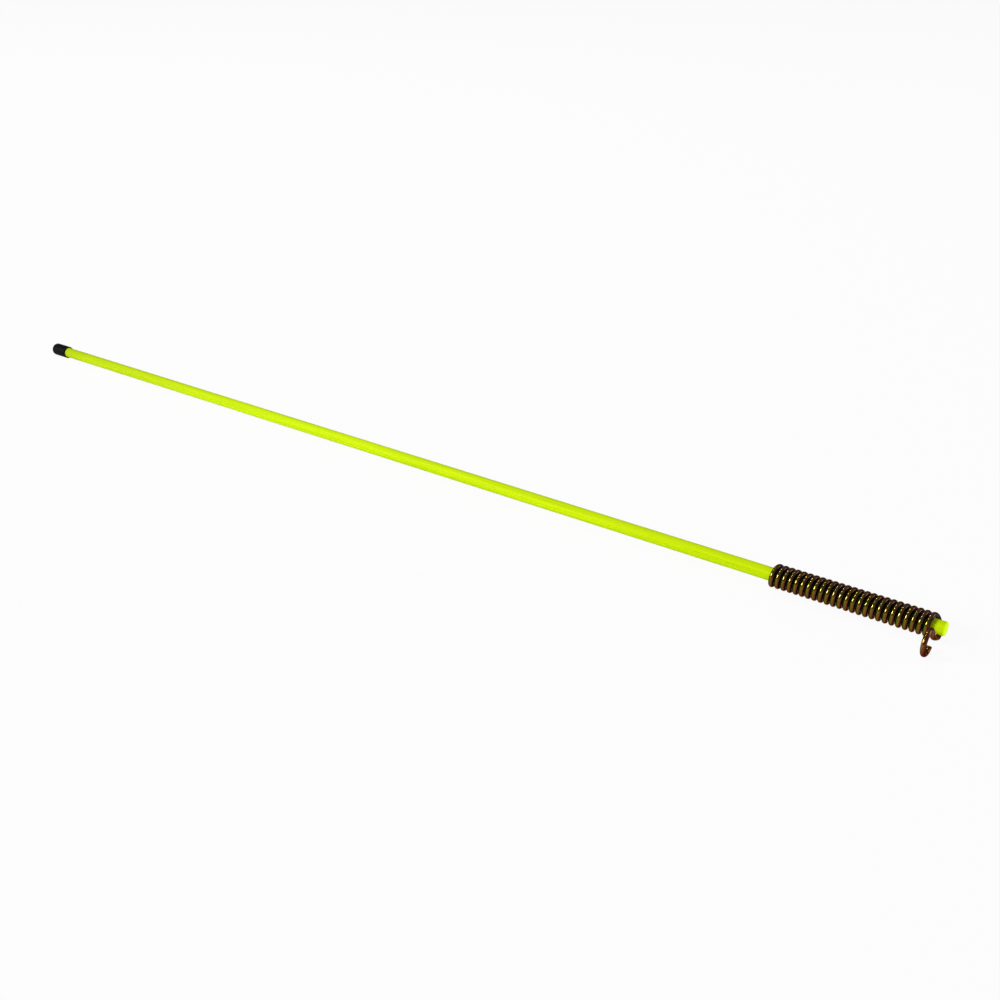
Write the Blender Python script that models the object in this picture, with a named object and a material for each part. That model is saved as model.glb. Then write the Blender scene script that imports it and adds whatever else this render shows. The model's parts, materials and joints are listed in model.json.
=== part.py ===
"""Fiberglass safety pole with a bolt-on spring mount, lying on its side.

A solid fiberglass rod wears a vinyl cap on its tip. A left-hand coil of plated spring wire
grips its butt end. The wire runs on from the last turn as a short straight neck, then curls
the other way round into an open eye for a bolt that is parallel to the pole.

Lengths are in metres. The pole frame has its origin at the centre of the rod's butt face,
+X from the tip towards the butt, and -Y towards the eye. The pole is leaned by the small
angle at which its cap and its coil both touch the ground at Z = 0.
"""
from math import asin, atan, ceil, cos, degrees, floor, radians, sin, sqrt, tan, tau

import bmesh
import bpy
from mathutils import Matrix, Vector

# Rod
ROD_DIAMETER = 0.0127
ROD_LENGTH = 1.2192
ROD_EDGE = 0.0012

# Tip cap
CAP_WALL = 0.0011
CAP_END_WALL = 0.0020
CAP_DEPTH = 0.0252
CAP_CLEARANCE = 0.0003
CAP_CORNER = 0.0028
CAP_MOUTH_EDGE = 0.0006

# Spring wire, with angles in degrees from the bottom of the coil
WIRE_DIAMETER = 0.00476
COIL_CLEARANCE = 0.00025
COIL_PITCH = 0.00586
FULL_TURNS = 25
START_ANGLE = -54.0
FLARE_TRAVEL = 0.0074
BUTT_PROUD = 0.0030

# Eye
EYE_BORE = 0.0162
EYE_TO_COIL = 0.0064
EYE_SWEEP = 263.0
NECK_CUT = 0.0003

# Facets
ROD_SIDES = 32
WIRE_SIDES = 10
COIL_STEP = 18.0
EYE_STEP = 10.0
CORNER_STEPS = 4

# Radii
ROD_RADIUS = ROD_DIAMETER / 2
WIRE_RADIUS = WIRE_DIAMETER / 2
CAP_BORE_RADIUS = ROD_RADIUS + CAP_CLEARANCE
CAP_RADIUS = CAP_BORE_RADIUS + CAP_WALL
COIL_RADIUS = ROD_RADIUS + COIL_CLEARANCE + WIRE_RADIUS
COIL_OUTER = COIL_RADIUS + WIRE_RADIUS
EYE_RADIUS = EYE_BORE / 2 + WIRE_RADIUS
EYE_OUTER = EYE_RADIUS + WIRE_RADIUS

# Coil angles at which the wire starts to flare and reaches its last pass of the bottom
LAST_BOTTOM = 360.0 * FULL_TURNS
FLARE_ANGLE = LAST_BOTTOM - 180.0

# Places along the pole
TIP_X = -ROD_LENGTH
CAP_END_X = TIP_X - CAP_CLEARANCE - CAP_END_WALL
CAP_MOUTH_X = TIP_X - CAP_CLEARANCE + CAP_DEPTH
EYE_X = -BUTT_PROUD - WIRE_RADIUS
FLARE_X = EYE_X - FLARE_TRAVEL
FIRST_BOTTOM_X = FLARE_X - FLARE_ANGLE / 360.0 * COIL_PITCH

# The cap, by the far end of its straight side, and the coil's first turn rest on the ground
CAP_REST_X = CAP_END_X + CAP_CORNER
LEAN = atan((COIL_OUTER - CAP_RADIUS) / (FIRST_BOTTOM_X - CAP_REST_X))

# The eye rests on the ground beside the coil, and the neck is the cross tangent of the two
CENTRE_DISTANCE = COIL_OUTER + EYE_OUTER + EYE_TO_COIL
EYE_Z = EYE_OUTER - COIL_OUTER - (EYE_X - FIRST_BOTTOM_X) * tan(LEAN)
EYE_Y = -sqrt(CENTRE_DISTANCE ** 2 - EYE_Z ** 2)
NECK_ANGLE = degrees(asin((COIL_RADIUS + EYE_RADIUS) / CENTRE_DISTANCE) + asin(EYE_Z / CENTRE_DISTANCE))
NECK_LENGTH = sqrt(CENTRE_DISTANCE ** 2 - (COIL_RADIUS + EYE_RADIUS) ** 2)
COIL_END_ANGLE = LAST_BOTTOM + NECK_ANGLE


def clear_scene():
    for obj in list(bpy.data.objects):
        bpy.data.objects.remove(obj, do_unlink=True)


def make_material(name, color, roughness, metallic=0.0):
    material = bpy.data.materials.new(name)
    material.use_nodes = True
    shader = material.node_tree.nodes["Principled BSDF"]
    shader.inputs["Base Color"].default_value = (*color, 1.0)
    shader.inputs["Roughness"].default_value = roughness
    shader.inputs["Metallic"].default_value = metallic
    return material


def make_empty(name, location, parent=None):
    empty = bpy.data.objects.new(name, None)
    empty.empty_display_size = COIL_OUTER
    empty.location = location
    empty.parent = parent
    bpy.context.collection.objects.link(empty)
    return empty


def add_part(name, bm, origin, material, parent):
    """Turn a mesh built in the pole frame into an object with its origin at a point of it."""
    bmesh.ops.translate(bm, vec=-origin, verts=bm.verts)
    bmesh.ops.recalc_face_normals(bm, faces=bm.faces)
    mesh = bpy.data.meshes.new(name)
    bm.to_mesh(mesh)
    bm.free()
    mesh.materials.append(material)
    mesh.shade_smooth()
    mesh.set_sharp_from_angle(angle=radians(50.0))
    obj = bpy.data.objects.new(name, mesh)
    obj.location = origin - parent_place(parent)
    obj.parent = parent
    bpy.context.collection.objects.link(obj)
    return obj


def parent_place(parent):
    """Place of a parent empty in the pole frame, whose own empty is at its origin."""
    place = Vector((0.0, 0.0, 0.0))
    while parent.parent is not None:
        place += parent.location
        parent = parent.parent
    return place


def round_corner(x, radius, size, start):
    """Points of a quarter arc about (x, radius), from a start angle, turning clockwise."""
    angles = [radians(start - 90.0 * i / CORNER_STEPS) for i in range(CORNER_STEPS + 1)]
    return [(x + size * cos(a), radius + size * sin(a)) for a in angles]


def turned(profile):
    """Solid turned about the pole's axis from an outline of (x, radius) points.

    The outline starts and ends on the axis.
    """
    bm = bmesh.new()
    points = [bm.verts.new((x, 0.0, radius)) for x, radius in profile]
    outline = [bm.edges.new(pair) for pair in zip(points, points[1:])]
    bmesh.ops.spin(
        bm, geom=points + outline, cent=(0.0, 0.0, 0.0), axis=(1.0, 0.0, 0.0),
        angle=tau, steps=ROD_SIDES, use_merge=True,
    )
    bmesh.ops.remove_doubles(bm, verts=bm.verts, dist=1e-6)
    return bm


def angle_stops(start, end, step):
    """Start, each multiple of the step between, and end."""
    between = [i * step for i in range(floor(start / step) + 1, ceil(end / step))]
    return [start, *between, end]


def coil_point(angle):
    """Centre of the wire at a coil angle, rising along the pole to the eye's plane."""
    if angle < FLARE_ANGLE:
        x = FLARE_X - (FLARE_ANGLE - angle) / 360.0 * COIL_PITCH
    else:
        x = FLARE_X + flare_travel((angle - FLARE_ANGLE) / (COIL_END_ANGLE - FLARE_ANGLE))
    turn = radians(angle)
    return Vector((x, -COIL_RADIUS * sin(turn), -COIL_RADIUS * cos(turn)))


def flare_travel(part):
    """Travel of the flare: it leaves at the coil's own pitch and arrives with none."""
    pitch_part = (COIL_END_ANGLE - FLARE_ANGLE) / 360.0 * COIL_PITCH
    leaving = part * (1.0 - part) ** 2
    arriving = part * part * (3.0 - 2.0 * part)
    return pitch_part * leaving + FLARE_TRAVEL * arriving


def neck_point(distance):
    """Centre of the wire along the neck, from where it leaves the coil."""
    turn = radians(NECK_ANGLE)
    along = Vector((0.0, -cos(turn), sin(turn)))
    leaving = Vector((EYE_X, -COIL_RADIUS * sin(turn), -COIL_RADIUS * cos(turn)))
    return leaving + along * distance


def eye_point(angle):
    """Centre of the wire round the eye, by the angle turned since the eye's top."""
    turn = radians(angle)
    return Vector((EYE_X, EYE_Y - EYE_RADIUS * sin(turn), EYE_Z + EYE_RADIUS * cos(turn)))


def wire_directions(path):
    """Direction of the wire at each point: its ends run straight on."""
    ahead = [b - a for a, b in zip(path, path[1:])]
    middle = [a.normalized() + b.normalized() for a, b in zip(ahead, ahead[1:])]
    return [step.normalized() for step in (ahead[0], *middle, ahead[-1])]


def swept_wire(path):
    """Round wire along a path, made by extruding a disc from point to point.

    A corner of the section always points straight away from the coil's axis, so the wire
    has its full diameter against the rod and on the ground.
    """
    bm = bmesh.new()
    disc = bmesh.ops.create_circle(bm, cap_ends=True, radius=WIRE_RADIUS, segments=WIRE_SIDES)
    corners = disc["verts"]
    rim = list(bm.edges)
    section = [corner.co.copy() for corner in corners]
    for number, (point, direction) in enumerate(zip(path, wire_directions(path))):
        inward = Vector((0.0, direction.z, -direction.y)).normalized()
        across = direction.cross(inward)
        if number > 0:
            grown = bmesh.ops.extrude_edge_only(bm, edges=rim)["geom"]
            corners = [part for part in grown if isinstance(part, bmesh.types.BMVert)]
            rim = [part for part in grown if isinstance(part, bmesh.types.BMEdge)]
        for corner, place in zip(corners, section):
            corner.co = point + inward * place.y + across * place.x
    bmesh.ops.holes_fill(bm, edges=rim, sides=WIRE_SIDES)
    return bm


def build_rod(material, parent):
    edge = ROD_EDGE
    butt = round_corner(-edge, ROD_RADIUS - edge, edge, 90.0)
    tip = [(TIP_X, ROD_RADIUS - edge), (TIP_X + edge, ROD_RADIUS)]
    profile = [(TIP_X, 0.0), *tip, *butt, (0.0, 0.0)]
    return add_part("fiberglass_rod", turned(profile), Vector((0.0, 0.0, 0.0)), material, parent)


def build_cap(material, parent):
    """Dipped cap: a thin wall with a rounded closed end and a rounded edge at its mouth."""
    edge = CAP_MOUTH_EDGE
    outer_corner = round_corner(CAP_REST_X, CAP_RADIUS - CAP_CORNER, CAP_CORNER, 180.0)
    mouth_edge = round_corner(CAP_MOUTH_X - edge, CAP_RADIUS - edge, edge, 90.0)
    bore = [(CAP_MOUTH_X, CAP_BORE_RADIUS), (TIP_X - CAP_CLEARANCE, CAP_BORE_RADIUS)]
    profile = [(CAP_END_X, 0.0), *outer_corner, *mouth_edge, *bore, (TIP_X - CAP_CLEARANCE, 0.0)]
    return add_part("tip_cap", turned(profile), Vector((TIP_X, 0.0, 0.0)), material, parent)


def build_coil(material, parent, neck_middle):
    """Coil from the tip side to the flare, and the coil's half of the neck."""
    path = [coil_point(angle) for angle in angle_stops(START_ANGLE, COIL_END_ANGLE, COIL_STEP)]
    path.append(neck_point(coil_share() - NECK_CUT / 2))
    return add_part("coil_spring", swept_wire(path), neck_middle, material, parent)


def build_eye(material, parent, neck_middle):
    """The eye's half of the neck, and the open eye to its cut end."""
    path = [neck_point(coil_share() + NECK_CUT / 2)]
    stops = angle_stops(-NECK_ANGLE, EYE_SWEEP - NECK_ANGLE, EYE_STEP)
    path += [eye_point(angle) for angle in stops]
    return add_part("mounting_eye", swept_wire(path), neck_middle, material, parent)


def coil_share():
    """Length of neck on the coil's side of the cut, in the ratio of the two radii."""
    return NECK_LENGTH * COIL_RADIUS / (COIL_RADIUS + EYE_RADIUS)


def pole_placement():
    """Placement that rests the pole on Z = 0, centred over the origin."""
    butt_height = CAP_RADIUS * cos(LEAN) - CAP_REST_X * sin(LEAN)
    middle_x = CAP_END_X / 2 * cos(LEAN)
    middle_y = (COIL_OUTER + EYE_Y - EYE_OUTER) / 2
    return Matrix.Translation((-middle_x, -middle_y, butt_height)) @ Matrix.Rotation(-LEAN, 4, "Y")


def build_pole():
    fiberglass = make_material("lime_fiberglass", (0.62, 0.85, 0.01), 0.38)
    vinyl = make_material("black_vinyl", (0.012, 0.011, 0.010), 0.45)
    plated = make_material("yellow_plated_wire", (0.34, 0.25, 0.11), 0.28, metallic=0.9)
    neck_middle = neck_point(coil_share())
    pole_frame = make_empty("pole_frame", (0.0, 0.0, 0.0))
    pole_frame.matrix_world = pole_placement()
    neck_flex = make_empty("neck_flex", neck_middle, pole_frame)
    rod_slide = make_empty("rod_slide", -neck_middle, neck_flex)
    build_eye(plated, pole_frame, neck_middle)
    build_coil(plated, neck_flex, neck_middle)
    build_rod(fiberglass, rod_slide)
    build_cap(vinyl, rod_slide)


clear_scene()
build_pole()
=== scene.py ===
"""Looks of the fiberglass safety pole: its finishes, a studio and the camera.

The pieces are modelled with the pole standing on its tip: +Z runs from the tip to the butt,
the centre of the rod's butt face is the origin, and -X is the side of the eye. Each finished
piece is then laid down where the frame has it. Lengths are in metres.
"""

import json
from math import cos, pi, radians, sin, tau

import bpy
from mathutils import Matrix, Vector
from mathutils.geometry import interpolate_bezier


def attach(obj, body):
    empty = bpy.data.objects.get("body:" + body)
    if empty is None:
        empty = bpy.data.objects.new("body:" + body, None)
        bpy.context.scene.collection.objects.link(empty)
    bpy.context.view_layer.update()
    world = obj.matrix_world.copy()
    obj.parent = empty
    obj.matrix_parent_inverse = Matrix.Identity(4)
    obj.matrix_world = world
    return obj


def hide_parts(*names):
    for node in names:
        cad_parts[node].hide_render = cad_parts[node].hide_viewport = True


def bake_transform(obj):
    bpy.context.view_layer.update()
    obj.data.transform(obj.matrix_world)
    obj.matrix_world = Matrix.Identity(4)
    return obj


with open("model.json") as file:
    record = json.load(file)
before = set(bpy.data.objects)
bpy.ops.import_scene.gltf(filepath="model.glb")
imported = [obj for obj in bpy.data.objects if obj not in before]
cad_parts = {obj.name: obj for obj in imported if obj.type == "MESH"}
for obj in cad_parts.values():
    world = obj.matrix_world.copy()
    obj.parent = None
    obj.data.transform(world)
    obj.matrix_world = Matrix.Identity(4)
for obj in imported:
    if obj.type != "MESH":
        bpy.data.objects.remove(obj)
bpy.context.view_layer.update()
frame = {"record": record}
mounts = {mount["name"]: mount for mount in frame["record"]["mounts"]}

# Rod and cap
ROD_RADIUS = 0.00635
ROD_LENGTH = 1.2192
ROD_EDGE = 0.0012
CAP_WALL = 0.0011
CAP_END_WALL = 0.0020
CAP_DEPTH = 0.0252
CAP_CLEARANCE = 0.0003
CAP_CORNER = 0.0028
CAP_MOUTH_EDGE = 0.0006
CAP_BORE_EDGE = 0.0003

# Spring wire, with angles in degrees from the bottom of the coil
WIRE_RADIUS = mounts["bolt_eye"]["dims"]["length_mm"] / 2000.0
COIL_CLEARANCE = 0.00025
COIL_PITCH = 0.00586
FULL_TURNS = 25
START_ANGLE = -54.0
FLARE_TRAVEL = 0.0074
CUT_RING = 0.00025

# Neck, with angles in degrees up from level and the reaches of its curve's two handles
LEAVING_ANGLE = 24.0
ARRIVING_ANGLE = 66.0
LEAVING_REACH = 0.014
ARRIVING_REACH = 0.006

# Angle turned from the eye's top to the wire's cut end, in degrees
EYE_END = 221.7

# Fineness of the meshes
ROUND_SIDES = 96
ROD_EDGE_STEPS = 4
CAP_CORNER_STEPS = 10
CAP_MOUTH_STEPS = 4
CAP_BORE_STEPS = 3
WIRE_BEVEL = 10
WIRE_STEP = 0.0010
NECK_STEPS = 24
SMOOTH_ANGLE = 40.0
TOUCHING = 1e-6

# Where the frame has the pole and its eye
BUTT = Vector(mounts["butt_face"]["pos_m"])
ALONG = Vector(mounts["butt_face"]["axis"]).normalized()
LEVEL = Vector((0.0, 1.0, 0.0))
LAID = Matrix.Translation(BUTT) @ Matrix((LEVEL, ALONG.cross(LEVEL), ALONG)).transposed().to_4x4()
EYE_CENTRE = LAID.inverted() @ Vector(mounts["bolt_eye"]["pos_m"])

# Wire sizes that follow from these
COIL_RADIUS = ROD_RADIUS + COIL_CLEARANCE + WIRE_RADIUS
EYE_RADIUS = mounts["bolt_eye"]["dims"]["r_mm"] / 1000.0 + WIRE_RADIUS
CENTRE_DISTANCE = EYE_CENTRE.xy.length
LAST_BOTTOM = 360.0 * FULL_TURNS
FLARE_ANGLE = LAST_BOTTOM - 180.0
FLARE_HEIGHT = EYE_CENTRE.z - FLARE_TRAVEL
COIL_END_ANGLE = LAST_BOTTOM + LEAVING_ANGLE

# Places where the rod's colour changes, measured from its tip
DULL_BY_CAP = 0.09
DULL_FULLY = 0.14
DULL_FROM = 0.42

# Rod from its butt face: the stretch inside the coil that painted shade darkens, with its fading, and
# the sawn ends
ROD_SHADE_START = -0.1555
ROD_SHADE_END = -0.0125
ROD_SHADE_FADE = 0.001
SAWN_DEPTH = 0.0004

# How much of the rod's colour is covered by its dulling and by the painted shade inside the coil
FAR_DULL_COVER = 0.45
CAP_DULL_COVER = 0.30
LEAST_ROD_SHADE_COVER = 0.82
MOST_ROD_SHADE_COVER = 0.96

# Colours of the rod's dulling, of painted shade on the rod and on the wire, of the cap, and of the
# wire at grazing angles
DULL_LIME = (0.40, 0.52, 0.004)
ROD_PAINTED_SHADE = (0.025, 0.027, 0.006)
VINYL_BLACK = (0.0045, 0.0042, 0.0038)
VINYL_DUST = (0.010, 0.009, 0.008)
WIRE_PAINTED_SHADE = (0.010, 0.007, 0.004)
WIRE_GRAZING = (0.40, 0.27, 0.10)

# Painted glow of the rod: emission a little along its sides and strong at its butt face
SIDE_PAINTED_GLOW = 0.05
BUTT_PAINTED_GLOW = 0.70

# Shares of the wire's length where its looks change: the coil ends at about 0.95
INNER_SHADE_FULL_TO = 0.90
INNER_SHADE_GONE_FROM = 0.93
EYE_FILM_AND_SHADE_FROM = 0.93
EYE_FILM_AND_SHADE_FULL_FROM = 0.96

# Film on the wire, with painted shade on its side facing the butt: the middle of its colours, and how
# far they spread round the coil and the eye
FILM_AND_SHADE_MIDDLE = 0.47
COIL_FILM_AND_SHADE_SPREAD = 0.62
EYE_FILM_AND_SHADE_SPREAD = 0.30

# Heights over the pole's axis where the painted shade on the wire's ground side and its coat reach
# their least and most
GROUND_SHADE_FULL_BELOW = -0.0010
GROUND_SHADE_GONE_ABOVE = 0.0050
COAT_FAINT_BELOW = 0.0030
COAT_FULL_ABOVE = 0.0065

# How much of the wire's colour the painted shade on the coil's inner side and on the wire's ground
# side covers, and the weights of its coat
INNER_SHADE_COVER = 0.9
GROUND_SHADE_COVER = 0.28
FAINT_COAT = 0.015
FULL_COAT = 0.125

# Floor and sky
FLOOR_SIZE = 80.0
FLOOR_GAP = 0.0003
FLOOR_GREY = 0.88
FLOOR_SEEN_WHITE = 0.93
SKY_STRENGTH = 0.20

# Softboxes: name, direction from the pole's middle, distance, side, and the level that it adds
SOFTBOXES = (
    ("key_softbox", (-0.64, -0.66, 0.39), 12.0, 4.0, 0.86),
    ("high_softbox", (-0.45, -0.20, 0.87), 6.0, 0.7, 0.12),
    ("back_softbox", (-0.45, 0.35, 0.82), 6.0, 0.7, 0.12),
    ("fill_softbox", (0.75, 0.62, 0.25), 12.0, 6.0, 0.20),
)

# Camera
CAMERA_AZIMUTH = 36.626
CAMERA_ELEVATION = 25.973
CAMERA_FROM_BUTT = Vector((0.2246, -0.9279, 0.5484))
CAMERA_LENS = 44.35
CAMERA_NEAREST = 0.02


# Materials made of nodes

class Signal:
    """A number in a material's nodes, on which Python's operators add Math nodes."""

    def __init__(self, finish, socket):
        self.finish = finish
        self.socket = socket

    def __add__(self, other):
        return self.finish.maths("ADD", self, other)

    def __radd__(self, other):
        return self.finish.maths("ADD", other, self)

    def __sub__(self, other):
        return self.finish.maths("SUBTRACT", self, other)

    def __rsub__(self, other):
        return self.finish.maths("SUBTRACT", other, self)

    def __mul__(self, other):
        return self.finish.maths("MULTIPLY", self, other)

    def __rmul__(self, other):
        return self.finish.maths("MULTIPLY", other, self)


class Finish:
    """A material whose nodes are added one by one."""

    def __init__(self, name):
        self.material = bpy.data.materials.new(name)
        self.material.use_nodes = True
        self.tree = self.material.node_tree
        self.shader = self.tree.nodes["Principled BSDF"]

    def node(self, kind, settings=None, sockets=None):
        """A node of a type, with its settings, then the values or links of its sockets."""
        node = self.tree.nodes.new(kind)
        for name, value in (settings or {}).items():
            if name == "stops":
                set_stops(node.color_ramp, value)
            else:
                setattr(node, name, value)
        for name, value in (sockets or {}).items():
            self.plug(node.inputs[name], value)
        return node

    def plug(self, socket, value):
        """Link a socket, or set it. A colour is given as red, green and blue."""
        if isinstance(value, Signal):
            value = value.socket
        if isinstance(value, bpy.types.NodeSocket):
            self.tree.links.new(value, socket)
        elif socket.type == "RGBA":
            socket.default_value = (*value, 1.0)
        else:
            socket.default_value = value

    def wear(self, sockets):
        """Give the material's own shader its values or links."""
        for name, value in sockets.items():
            self.plug(self.shader.inputs[name], value)

    def number(self, kind, settings, sockets):
        return Signal(self, self.node(kind, settings, sockets).outputs[0])

    def maths(self, operation, *values):
        return self.number("ShaderNodeMath", {"operation": operation}, dict(enumerate(values)))

    def mix(self, factor, first, second, blend="MIX"):
        """Mix of two colours, which are a Mix node's sockets 6 and 7, with output 2."""
        settings = {"data_type": "RGBA", "blend_type": blend}
        return self.node("ShaderNodeMix", settings, {0: factor, 6: first, 7: second}).outputs[2]

    def ramp(self, factor, stops):
        return self.node("ShaderNodeValToRGB", {"stops": stops}, {"Fac": factor}).outputs["Color"]

    def between(self, value, low, high, at_low=0.0, at_high=1.0):
        """Smooth change of a number from one value to another."""
        settings = {"interpolation_type": "SMOOTHSTEP"}
        sockets = {
            "Value": value, "From Min": low, "From Max": high, "To Min": at_low, "To Max": at_high,
        }
        return self.number("ShaderNodeMapRange", settings, sockets)

    def noise(self, vector, scale, detail, roughness=0.55):
        """Cloudy noise. A scale of three numbers stretches it along the axes."""
        if isinstance(scale, tuple):
            settings = {"vector_type": "POINT"}
            mapping = self.node("ShaderNodeMapping", settings, {"Vector": vector, "Scale": scale})
            vector, scale = mapping.outputs["Vector"], 1.0
        sockets = {"Vector": vector, "Scale": scale, "Detail": detail, "Roughness": roughness}
        return self.number("ShaderNodeTexNoise", None, sockets)

    def bump(self, height, distance, strength):
        sockets = {"Height": height, "Distance": distance, "Strength": strength}
        return self.node("ShaderNodeBump", None, sockets).outputs["Normal"]

    def pole_place(self):
        """Place on the laid pole: X from the butt face, negative towards the tip."""
        place = self.node("ShaderNodeTexCoord").outputs["Object"]
        lean = ALONG.to_track_quat("X", "Z").to_euler()
        sockets = {"Vector": place, "Location": BUTT, "Rotation": lean}
        return self.node("ShaderNodeMapping", {"vector_type": "TEXTURE"}, sockets).outputs["Vector"]

    def split(self, vector):
        node = self.node("ShaderNodeSeparateXYZ", None, {"Vector": vector})
        return [Signal(self, socket) for socket in node.outputs]


def set_stops(ramp, stops):
    """Give a colour ramp its stops, as (position, colour) pairs."""
    while len(ramp.elements) < len(stops):
        ramp.elements.new(1.0)
    for element, (position, color) in zip(ramp.elements, stops):
        element.position = position
        element.color = (*color, 1.0)


def grey(level):
    return (level, level, level)


# Finishes

def lime_fiberglass():
    """Pultruded rod: dyed resin with glass strands along it, and sawn strand ends at the butt.

    It is duller towards the tip and by the cap, and painted shade, streaked like rub marks, darkens
    it where the coil covers it. A painted glow brightens it a little along the sides outside the coil
    and strongly at the butt.
    """
    finish = Finish("lime_fiberglass")
    place = finish.pole_place()
    along = finish.split(place)[0]
    strands = finish.noise(place, (9.0, 900.0, 900.0), detail=4.0)
    bundles = finish.noise(place, (3.0, 260.0, 260.0), detail=2.0)
    batches = finish.noise(place, (7.0, 20.0, 20.0), detail=2.0)
    color = finish.ramp(strands * 0.5 + bundles * 0.35 + batches * 0.15, [
        (0.36, (0.50, 0.72, 0.001)),
        (0.50, (0.62, 0.84, 0.002)),
        (0.66, (0.68, 0.90, 0.003)),
    ])
    # Darker, duller lime towards the tip and by the cap's mouth
    near_cap = finish.between(along, DULL_BY_CAP - ROD_LENGTH, CAP_DEPTH - ROD_LENGTH)
    far_end = finish.between(along, DULL_FROM - ROD_LENGTH, DULL_FULLY - ROD_LENGTH)
    color = finish.mix(far_end * FAR_DULL_COVER + near_cap * CAP_DULL_COVER, color, DULL_LIME)
    # Painted shade: the rod is darkened where the coil covers it, streaked like rub marks, so the
    # gaps between the turns look dark
    past_start = finish.between(along, ROD_SHADE_START - ROD_SHADE_FADE, ROD_SHADE_START + ROD_SHADE_FADE)
    before_end = finish.between(along, ROD_SHADE_END - ROD_SHADE_FADE, ROD_SHADE_END + ROD_SHADE_FADE, 1.0, 0.0)
    under_coil = past_start * before_end
    shade_streaks = finish.noise(place, (160.0, 320.0, 320.0), detail=5.0, roughness=0.65)
    cover = finish.between(shade_streaks, 0.35, 0.65, LEAST_ROD_SHADE_COVER, MOST_ROD_SHADE_COVER)
    color = finish.mix(under_coil * cover, color, ROD_PAINTED_SHADE)
    ends = finish.noise(place, (40.0, 3800.0, 3800.0), detail=2.0)
    butt = finish.between(along, -ROD_EDGE, -SAWN_DEPTH)
    sawn = finish.ramp(ends, [(0.35, (0.52, 0.74, 0.002)), (0.62, (0.64, 0.86, 0.010))])
    color = finish.mix(butt, color, sawn)
    # Painted glow: the rod's colour is given off as light, a little along its sides, strongly at the
    # butt face, and not inside the coil
    glow = finish.mix(butt, grey(SIDE_PAINTED_GLOW), grey(BUTT_PAINTED_GLOW))
    glow = finish.mix(under_coil, glow, grey(0.0))
    height = strands * 0.6 + bundles * 0.4 + butt * ends
    finish.wear({
        "Base Color": color,
        "Roughness": finish.between(strands, 0.3, 0.7, 0.46, 0.56),
        "Specular IOR Level": 0.03,
        "Emission Color": finish.mix(1.0, color, glow, "MULTIPLY"),
        "Emission Strength": 1.0,
        "Normal": finish.bump(height, 0.00006, 0.5),
    })
    return finish.material


def black_vinyl():
    """Dip-moulded cap: satin skin with a fine peel, and a little dust."""
    finish = Finish("black_vinyl")
    place = finish.pole_place()
    peel = finish.noise(place, 1500.0, detail=3.0)
    dimples = finish.noise(place, 220.0, detail=1.0)
    dust = finish.noise(place, (120.0, 300.0, 300.0), detail=5.0, roughness=0.7)
    dust_and_shade = finish.between(dust, 0.45, 0.8)
    finish.wear({
        "Base Color": finish.mix(dust_and_shade, VINYL_BLACK, VINYL_DUST),
        "Roughness": finish.between(dust, 0.3, 0.7, 0.50, 0.62),
        "Specular IOR Level": 0.03,
        "Normal": finish.bump(peel * 0.4 + dimples, 0.00008, 0.4),
    })
    return finish.material


def plated_wire():
    """Spring wire under dark yellow chromate, which shades from green to crimson round it, with
    painted shade turning the side that faces the butt near black.

    Painted shade darkens the coil on the side that faces the rod and the wire on the side that faces
    the ground. The coat is faint on the ground side and strong above, where the highlights fall.
    """
    finish = Finish("plated_wire")
    place = finish.pole_place()
    height = finish.split(place)[2]
    texture = finish.node("ShaderNodeUVMap", {"uv_map": "UVMap"}).outputs["UV"]
    run, girth = finish.split(texture)[:2]
    side = finish.maths("SINE", girth * tau)
    outward = finish.maths("COSINE", girth * tau)
    cloud = finish.noise(place, 160.0, detail=3.0)
    fine = finish.noise(place, 900.0, detail=4.0)
    spread = finish.between(run, EYE_FILM_AND_SHADE_FROM, EYE_FILM_AND_SHADE_FULL_FROM, COIL_FILM_AND_SHADE_SPREAD, EYE_FILM_AND_SHADE_SPREAD)
    # Chromate tint round the wire, with painted shade: the side facing the butt runs to near black,
    # less so on the eye
    film_and_shade = side * spread + FILM_AND_SHADE_MIDDLE + (cloud - 0.5) * 0.35 + (fine - 0.5) * 0.15
    color = finish.ramp(film_and_shade, [
        (0.00, (0.060, 0.085, 0.003)),
        (0.20, (0.180, 0.145, 0.010)),
        (0.42, (0.225, 0.120, 0.016)),
        (0.60, (0.195, 0.062, 0.019)),
        (0.77, (0.105, 0.020, 0.018)),
        (0.92, (0.012, 0.005, 0.007)),
    ])
    # Painted shade on the coil's inner side, between the turns and the rod; it fades out on the last
    # turn
    inner = finish.between(outward, -0.4, 0.6, 1.0, 0.0)
    inner_shade = inner * finish.between(run, INNER_SHADE_FULL_TO, INNER_SHADE_GONE_FROM, 1.0, 0.0)
    # Painted shade on the ground side of the wire, with the coat faint there and strong above so that
    # its highlights are whiter
    dust_and_shade = finish.between(height, GROUND_SHADE_GONE_ABOVE, GROUND_SHADE_FULL_BELOW)
    color = finish.mix(inner_shade * INNER_SHADE_COVER + dust_and_shade * GROUND_SHADE_COVER, color, WIRE_PAINTED_SHADE)
    coat = finish.between(height, COAT_FAINT_BELOW, COAT_FULL_ABOVE, FAINT_COAT, FULL_COAT)
    drawn = finish.noise(texture, (60.0, 40.0, 1.0), detail=3.0)
    finish.wear({
        "Base Color": color,
        "Metallic": 1.0,
        "Specular Tint": WIRE_GRAZING,
        "Coat Weight": coat,
        "Coat IOR": 2.5,
        "Coat Roughness": 0.05,
        "Roughness": finish.between(fine, 0.3, 0.7, 0.13, 0.24),
        "Normal": finish.bump(drawn * 0.5 + fine * 0.5, 0.00006, 0.35),
    })
    return finish.material


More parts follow.
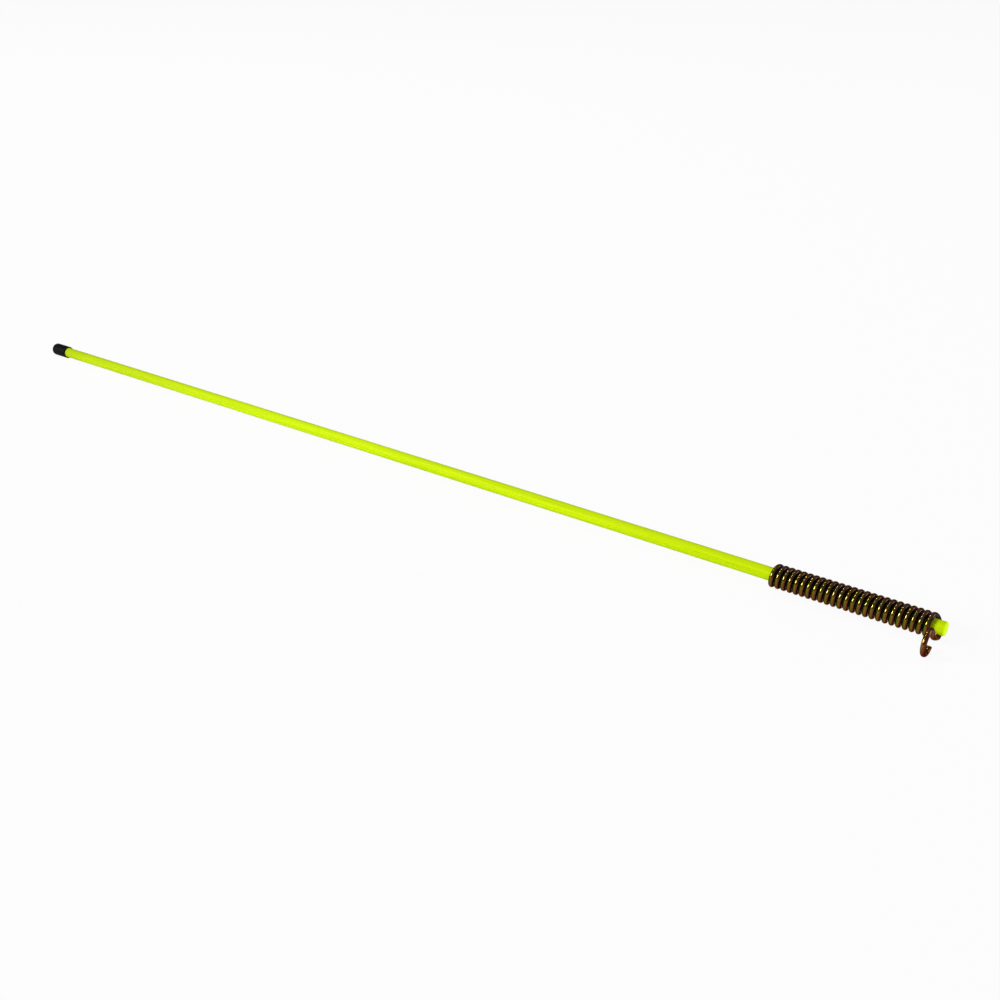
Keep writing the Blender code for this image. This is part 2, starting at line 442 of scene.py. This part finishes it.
def cut_steel():
    """Sheared ends of the wire: dull brownish steel with the marks of the blade."""
    finish = Finish("cut_steel")
    place = finish.pole_place()
    marks = finish.noise(place, (300.0, 4000.0, 900.0), detail=3.0)
    finish.wear({
        "Base Color": finish.ramp(marks, [(0.3, (0.10, 0.07, 0.03)), (0.7, (0.24, 0.18, 0.09))]),
        "Metallic": 0.9,
        "Roughness": finish.between(marks, 0.3, 0.7, 0.38, 0.55),
        "Normal": finish.bump(marks, 0.00010, 0.6),
    })
    return finish.material


# Modelling steps

def start_editing(obj, mode="FACE"):
    bpy.context.view_layer.objects.active = obj
    obj.select_set(True)
    bpy.ops.object.mode_set(mode="EDIT")
    bpy.ops.mesh.select_mode(type=mode)
    bpy.ops.mesh.select_all(action="DESELECT")


def select_where(obj, kind, test):
    """In edit mode, select just the faces or edges of a mesh whose corners pass a test."""
    bpy.ops.mesh.select_all(action="DESELECT")
    bpy.ops.object.mode_set(mode="OBJECT")
    mesh = obj.data
    for part in getattr(mesh, kind):
        corners = [mesh.vertices[number].co for number in part.vertices]
        part.select = test(corners)
    bpy.ops.object.mode_set(mode="EDIT")


def finish_editing(obj):
    bpy.ops.mesh.select_all(action="SELECT")
    bpy.ops.mesh.remove_doubles(threshold=TOUCHING)
    bpy.ops.mesh.normals_make_consistent(inside=False)
    bpy.ops.object.mode_set(mode="OBJECT")
    bpy.ops.object.shade_smooth_by_angle(angle=radians(SMOOTH_ANGLE))


def lay_down(obj):
    """Bring a piece modelled on the standing pole to its place in the frame."""
    obj.matrix_world = LAID @ obj.matrix_world
    bpy.ops.object.select_all(action="DESELECT")
    obj.select_set(True)
    bpy.context.view_layer.objects.active = obj
    bpy.ops.object.transform_apply(location=True, rotation=True, scale=True)


def at_height(height):
    """Test for faces and edges that lie level at a height."""
    return lambda corners: all(abs(corner.z - height) < TOUCHING for corner in corners)


def rim_at(height, radius):
    """Test for the edges of a level circle about the pole's axis."""
    level = at_height(height)
    return lambda corners: level(corners) and all(
        abs(corner.xy.length - radius) < TOUCHING for corner in corners
    )


def round_bar(name, radius, bottom, top):
    """Round bar along the pole's axis, from which a piece is made."""
    bpy.ops.object.select_all(action="DESELECT")
    middle = (0.0, 0.0, (top + bottom) / 2)
    bpy.ops.mesh.primitive_cylinder_add(
        vertices=ROUND_SIDES, radius=radius, depth=top - bottom, location=middle
    )
    obj = bpy.context.object
    obj.name = name
    bpy.ops.object.transform_apply(location=True, rotation=True, scale=True)
    return obj


# Pieces

def build_rod(finish):
    rod = round_bar("fiberglass_bar", ROD_RADIUS, -ROD_LENGTH, 0.0)
    start_editing(rod, "EDGE")
    for end in (-ROD_LENGTH, 0.0):
        select_where(rod, "edges", rim_at(end, ROD_RADIUS))
        bpy.ops.mesh.bevel(offset=ROD_EDGE, segments=ROD_EDGE_STEPS, profile=0.5)
    finish_editing(rod)
    rod.data.materials.append(finish)
    lay_down(rod)
    return rod


def build_cap(finish):
    """Cap hollowed from a bar, with its closed end and both edges of its mouth rounded."""
    outer = ROD_RADIUS + CAP_CLEARANCE + CAP_WALL
    bottom = -ROD_LENGTH - CAP_CLEARANCE - CAP_END_WALL
    mouth = -ROD_LENGTH - CAP_CLEARANCE + CAP_DEPTH
    cap = round_bar("vinyl_cap", outer, bottom, mouth)
    start_editing(cap)
    select_where(cap, "polygons", at_height(mouth))
    bpy.ops.mesh.inset(thickness=CAP_WALL)
    bpy.ops.mesh.extrude_region_move(TRANSFORM_OT_translate={"value": (0.0, 0.0, -CAP_DEPTH)})
    bpy.ops.mesh.select_mode(type="EDGE")
    for height, radius, size, steps in (
        (bottom, outer, CAP_CORNER, CAP_CORNER_STEPS),
        (mouth, outer, CAP_MOUTH_EDGE, CAP_MOUTH_STEPS),
        (mouth, outer - CAP_WALL, CAP_BORE_EDGE, CAP_BORE_STEPS),
    ):
        select_where(cap, "edges", rim_at(height, radius))
        bpy.ops.mesh.bevel(offset=size, segments=steps, profile=0.5)
    finish_editing(cap)
    cap.data.materials.append(finish)
    lay_down(cap)
    return cap


def coil_point(angle):
    """Centre of the wire at a coil angle, rising along the pole to the eye's plane."""
    if angle < FLARE_ANGLE:
        height = FLARE_HEIGHT - (FLARE_ANGLE - angle) / 360.0 * COIL_PITCH
    else:
        height = FLARE_HEIGHT + flare_travel((angle - FLARE_ANGLE) / (COIL_END_ANGLE - FLARE_ANGLE))
    turn = radians(angle)
    return Vector((-COIL_RADIUS * sin(turn), -COIL_RADIUS * cos(turn), height))


def flare_travel(part):
    """Travel of the flare: it leaves at the coil's own pitch and arrives with none."""
    pitch_part = (COIL_END_ANGLE - FLARE_ANGLE) / 360.0 * COIL_PITCH
    leaving = part * (1.0 - part) ** 2
    arriving = part * part * (3.0 - 2.0 * part)
    return pitch_part * leaving + FLARE_TRAVEL * arriving


def eye_point(angle):
    """Centre of the wire round the eye, by the angle turned since the eye's top."""
    turn = radians(angle)
    return EYE_CENTRE + EYE_RADIUS * Vector((-sin(turn), cos(turn), 0.0))


def rising(angle):
    """Direction from the coil towards the eye, at an angle up from level on the laid pole."""
    turn = radians(angle)
    return Vector((-cos(turn), sin(turn), 0.0))


def stretch(point_at, start, end, radius):
    """Points from one angle to another, without the last one, at the even wire step."""
    count = round(radians(end - start) * radius / WIRE_STEP)
    return [point_at(start + (end - start) * i / count) for i in range(count)]


def neck_points():
    """Curve from the coil's end to the eye, without its last point."""
    leaving, arriving = coil_point(COIL_END_ANGLE), eye_point(-ARRIVING_ANGLE)
    leaving_handle = leaving + rising(LEAVING_ANGLE) * LEAVING_REACH
    arriving_handle = arriving - rising(ARRIVING_ANGLE) * ARRIVING_REACH
    neck = interpolate_bezier(leaving, leaving_handle, arriving_handle, arriving, NECK_STEPS + 1)
    return neck[:-1]


def wire_path():
    """The wire's centre line, from its end by the tip side of the coil to the eye's cut end."""
    coil = stretch(coil_point, START_ANGLE, COIL_END_ANGLE, COIL_RADIUS)
    eye = stretch(eye_point, -ARRIVING_ANGLE, EYE_END, EYE_RADIUS)
    return [*coil, *neck_points(), *eye, eye_point(EYE_END)]


def build_wire(plated, cut):
    """Round wire along its centre line, with another finish on its two sheared ends."""
    bpy.ops.object.select_all(action="DESELECT")
    bpy.ops.curve.primitive_bezier_curve_add()
    wire = bpy.context.object
    wire.name = "spring_wire"
    curve = wire.data
    curve.splines.clear()
    path = wire_path()
    line = curve.splines.new("POLY")
    line.points.add(len(path) - 1)
    for point, place in zip(line.points, path):
        point.co = (*place, 1.0)
    curve.twist_mode = "Z_UP"
    curve.bevel_depth = WIRE_RADIUS
    curve.bevel_resolution = WIRE_BEVEL
    curve.use_fill_caps = True
    bpy.ops.object.convert(target="MESH")
    wire.data.materials.append(plated)
    wire.data.materials.append(cut)
    start_editing(wire)
    bpy.ops.mesh.select_all(action="SELECT")
    bpy.ops.mesh.remove_doubles(threshold=TOUCHING)
    select_where(wire, "polygons", lambda corners: len(corners) > 4)
    wire.active_material_index = 1
    bpy.ops.object.material_slot_assign()
    bpy.ops.mesh.inset(thickness=CUT_RING, depth=0.0)
    finish_editing(wire)
    lay_down(wire)
    return wire


# Studio

def build_floor():
    """Pale floor that the camera and the metal see as white, with the pole's soft shadow."""
    bpy.ops.mesh.primitive_plane_add(size=FLOOR_SIZE, location=(0.0, 0.0, -FLOOR_GAP))
    floor = bpy.context.object
    floor.name = "floor"
    finish = Finish("floor")
    finish.wear({"Base Color": grey(FLOOR_GREY), "Roughness": 0.9, "Specular IOR Level": 0.1})
    glow = finish.node("ShaderNodeEmission", None, {"Color": grey(1.0), "Strength": 1.0})
    white = seen_white(finish) * FLOOR_SEEN_WHITE
    shaders = {0: white, 1: finish.shader.outputs[0], 2: glow.outputs[0]}
    shown = finish.node("ShaderNodeMixShader", None, shaders)
    finish.plug(finish.tree.nodes["Material Output"].inputs["Surface"], shown.outputs[0])
    floor.data.materials.append(finish.material)


def seen_white(finish):
    """1 for what the camera sees straight, mirrored or through glass, 0 for light on the object."""
    path = finish.node("ShaderNodeLightPath").outputs
    rays = ("Is Camera Ray", "Is Glossy Ray", "Is Transmission Ray")
    camera, glossy, through = (Signal(finish, path[name]) for name in rays)
    return finish.maths("MINIMUM", camera + glossy + through, 1.0)


def build_world():
    world = bpy.data.worlds.new("studio")
    bpy.context.scene.world = world
    world.use_nodes = True
    background = world.node_tree.nodes["Background"]
    background.inputs["Color"].default_value = (1.0, 1.0, 1.0, 1.0)
    background.inputs["Strength"].default_value = SKY_STRENGTH


def add_softbox(name, direction, distance, side, level):
    """Square softbox aimed at the pole's middle, at the level that it adds to a facing surface."""
    towards = Vector(direction).normalized()
    bpy.ops.object.light_add(type="AREA", location=towards * distance)
    lamp = bpy.context.object
    lamp.name = name
    lamp.rotation_euler = towards.to_track_quat("Z", "Y").to_euler()
    lamp.data.shape = "SQUARE"
    lamp.data.size = side
    lamp.data.energy = level * pi ** 2 * distance ** 2


def build_camera():
    bpy.ops.object.camera_add()
    camera = bpy.context.object
    turn, tilt = radians(CAMERA_AZIMUTH), radians(CAMERA_ELEVATION)
    back = Vector((sin(turn) * cos(tilt), -cos(turn) * cos(tilt), sin(tilt)))
    camera.location = BUTT + CAMERA_FROM_BUTT
    camera.rotation_euler = back.to_track_quat("Z", "Y").to_euler()
    camera.data.lens = CAMERA_LENS
    camera.data.clip_start = CAMERA_NEAREST
    bpy.context.scene.camera = camera
    bpy.context.scene.view_settings.view_transform = "Standard"


bpy.ops.object.select_all(action="DESELECT")

rod = build_rod(lime_fiberglass())
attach(rod, "pole")
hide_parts("fiberglass_rod")

cap = build_cap(black_vinyl())
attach(cap, "pole")
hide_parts("tip_cap")

# Points on the near sides of the eye and of the coil, at the height of the eye's centre; nothing uses
# them
wire = build_wire(plated_wire(), cut_steel())
eye_side = EYE_CENTRE * ((CENTRE_DISTANCE - EYE_RADIUS - WIRE_RADIUS) / CENTRE_DISTANCE)
coil_side = EYE_CENTRE * ((COIL_RADIUS + WIRE_RADIUS) / CENTRE_DISTANCE)
eye_side.z = coil_side.z = EYE_CENTRE.z
LAID @ eye_side
LAID @ coil_side
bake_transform(wire)
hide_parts("coil_spring", "mounting_eye")

build_floor()
build_world()
for softbox in SOFTBOXES:
    add_softbox(*softbox)
build_camera()
